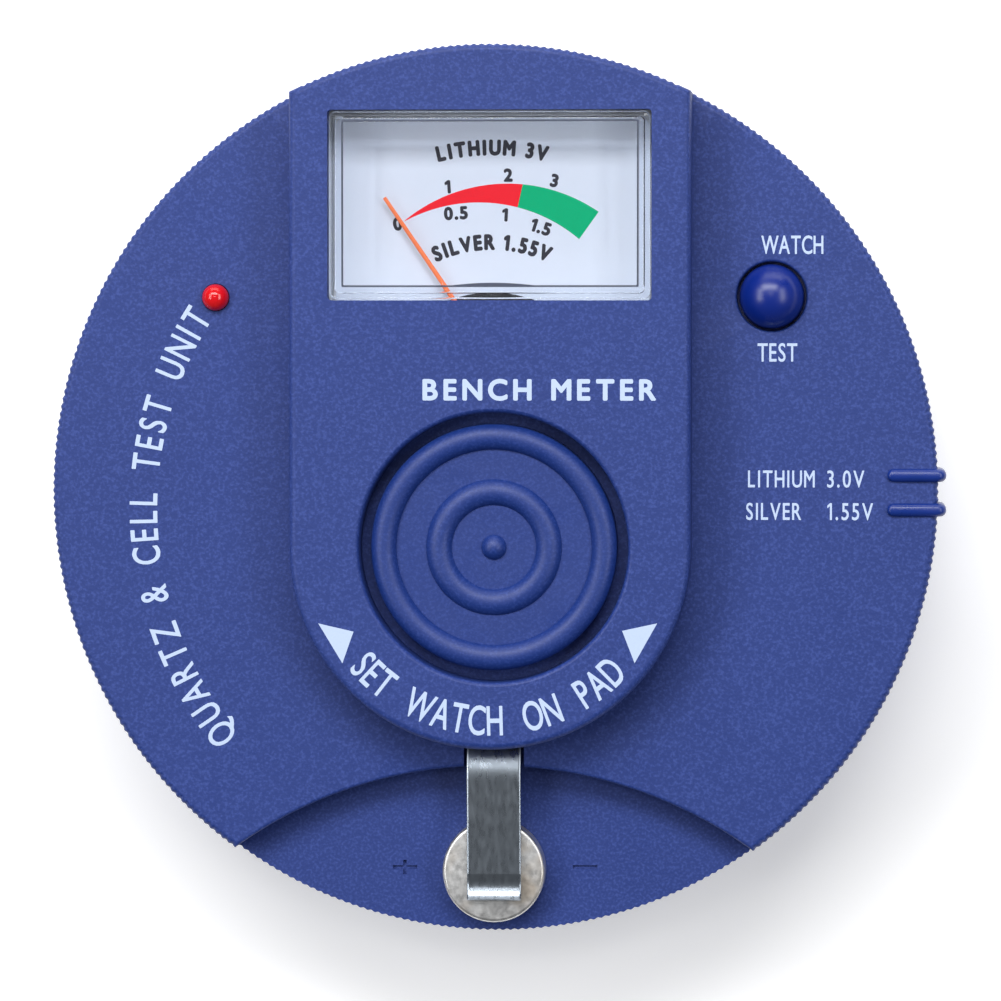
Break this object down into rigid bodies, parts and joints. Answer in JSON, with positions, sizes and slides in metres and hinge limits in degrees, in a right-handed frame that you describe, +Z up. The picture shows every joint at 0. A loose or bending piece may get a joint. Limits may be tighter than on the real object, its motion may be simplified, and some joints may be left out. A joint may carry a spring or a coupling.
{
  "type": "watch and battery tester",
  "caption": "Round bench tester with a panel meter, watch pickup pad, test button, side cell selector, red lamp and a spring strip that holds a button cell.",
  "frame": {"origin": "axis of the round case, on the plane that the feet stand on", "axes": "+Z up, +Y towards the meter, +X towards the test button and the cell selector"},
  "size_m": [0.1009, 0.1, 0.0335],
  "materials": {
    "shell_blue": "fine sparkle texture",
    "pad_blue": "fine matt",
    "button_blue": "polished",
    "knob_black": "matt",
    "foot_rubber": "matt",
    "clear_cover": "clear polished plastic",
    "meter_white": "satin",
    "dial_white": "matt print",
    "shield_black": "matt",
    "needle_orange": "matt",
    "lamp_red": "polished, tinted",
    "nickel": "brushed nickel plate",
    "cell_steel": "satin",
    "screw_steel": "zinc plate",
    "magnet_grey": "ground",
    "iron_ring": "plated",
    "brass": "satin",
    "copper_wire": "enamelled",
    "aluminium": "satin",
    "board_green": "solder mask",
    "chip_black": "moulded",
    "resistor_beige": "lacquer",
    "can_dark": "sleeve",
    "trimmer_blue": "moulded",
    "switch_grey": "moulded",
    "gasket_black": "moulded",
    "ferrite": "sintered",
    "bobbin_cream": "moulded",
    "battery_wrap": "printed can",
    "wire_red": "vinyl",
    "wire_black": "vinyl"
  },
  "bodies": {
    "case": {"upper_shell": "shell_blue", "lower_shell": "shell_blue", "rubber_feet": "foot_rubber", "case_screws": "screw_steel", "block_battery": "battery_wrap", "battery_terminals": "nickel", "snap_connector": "chip_black", "red_lead": "wire_red", "black_lead": "wire_black", "circuit_board": "board_green", "board_screws": "screw_steel", "amplifier_chip": "chip_black", "chip_pins": "nickel", "resistors": "resistor_beige", "resistor_leads": "nickel", "capacitors": "can_dark", "trimmers": "trimmer_blue", "push_switch_body": "switch_grey", "switch_spring": "screw_steel", "slide_switch_body": "switch_grey", "led_lens": "lamp_red", "led_leads": "nickel", "watch_pad": "pad_blue", "coil_bobbin": "bobbin_cream", "pickup_coil": "copper_wire", "ferrite_core": "ferrite", "coil_leads": "copper_wire", "contact_strip_tail": "nickel", "strip_screw": "screw_steel", "strip_wire": "wire_red", "contact_plate": "nickel", "plate_rivet": "nickel", "plate_wire": "wire_black", "meter_cover": "clear_cover", "meter_housing": "meter_white", "dial_plate": "dial_white", "movement_shield": "shield_black", "meter_magnet": "magnet_grey", "meter_yoke": "iron_ring", "core_supports": "brass", "hairsprings": "brass", "bearing_bridges": "brass", "bearing_screws": "brass", "meter_terminals": "brass", "meter_leads": "wire_black"},
    "needle": {"pointer": "needle_orange", "pointer_balance": "brass", "coil_former": "aluminium", "moving_coil": "copper_wire", "pivot_shafts": "screw_steel"},
    "test_button": {"button_cap": "button_blue", "switch_plunger": "switch_grey"},
    "cell_selector": {"range_knob": "knob_black", "slide_switch_lever": "switch_grey"},
    "contact_blade": {"contact_strip": "nickel"},
    "test_cell": {"cell_can": "cell_steel", "cell_gasket": "gasket_black", "cell_cap": "cell_steel"},
    "battery_hatch": {"battery_door": "shell_blue"}
  },
  "joints": [
    {"name": "needle_swing", "type": "hinge", "parent": "case", "child": "needle", "pos_m": [-0.0004, 0.0159, 0.0286], "axis": [0, 0, -1], "range_deg": [0, 74], "stiffness_Nm_per_rad": 0.00001},
    {"name": "test_button_press", "type": "slide", "parent": "case", "child": "test_button", "axis": [0, 0, -1], "range_m": [0, 0.0012], "stiffness_N_per_m": 250, "springref_m": -0.001, "deforming": ["switch_spring"]},
    {"name": "cell_type_slide", "type": "slide", "parent": "case", "child": "cell_selector", "axis": [0, 1, 0], "range_m": [0, 0.00387]},
    {"name": "contact_lift", "type": "hinge", "parent": "case", "child": "contact_blade", "pos_m": [0, -0.024, 0.0246], "axis": [-1, 0, 0], "range_deg": [0, 8], "stiffness_Nm_per_rad": 0.05, "springref_deg": -11.46},
    {"name": "cell_withdraw", "type": "slide", "parent": "case", "child": "test_cell", "axis": [0, -1, 0], "range_m": [0, 0.016]},
    {"name": "hatch_open", "type": "hinge", "parent": "case", "child": "battery_hatch", "pos_m": [-0.0254, -0.02625, 0.001], "axis": [0, 1, 0], "range_deg": [0, 40]}
  ]
}
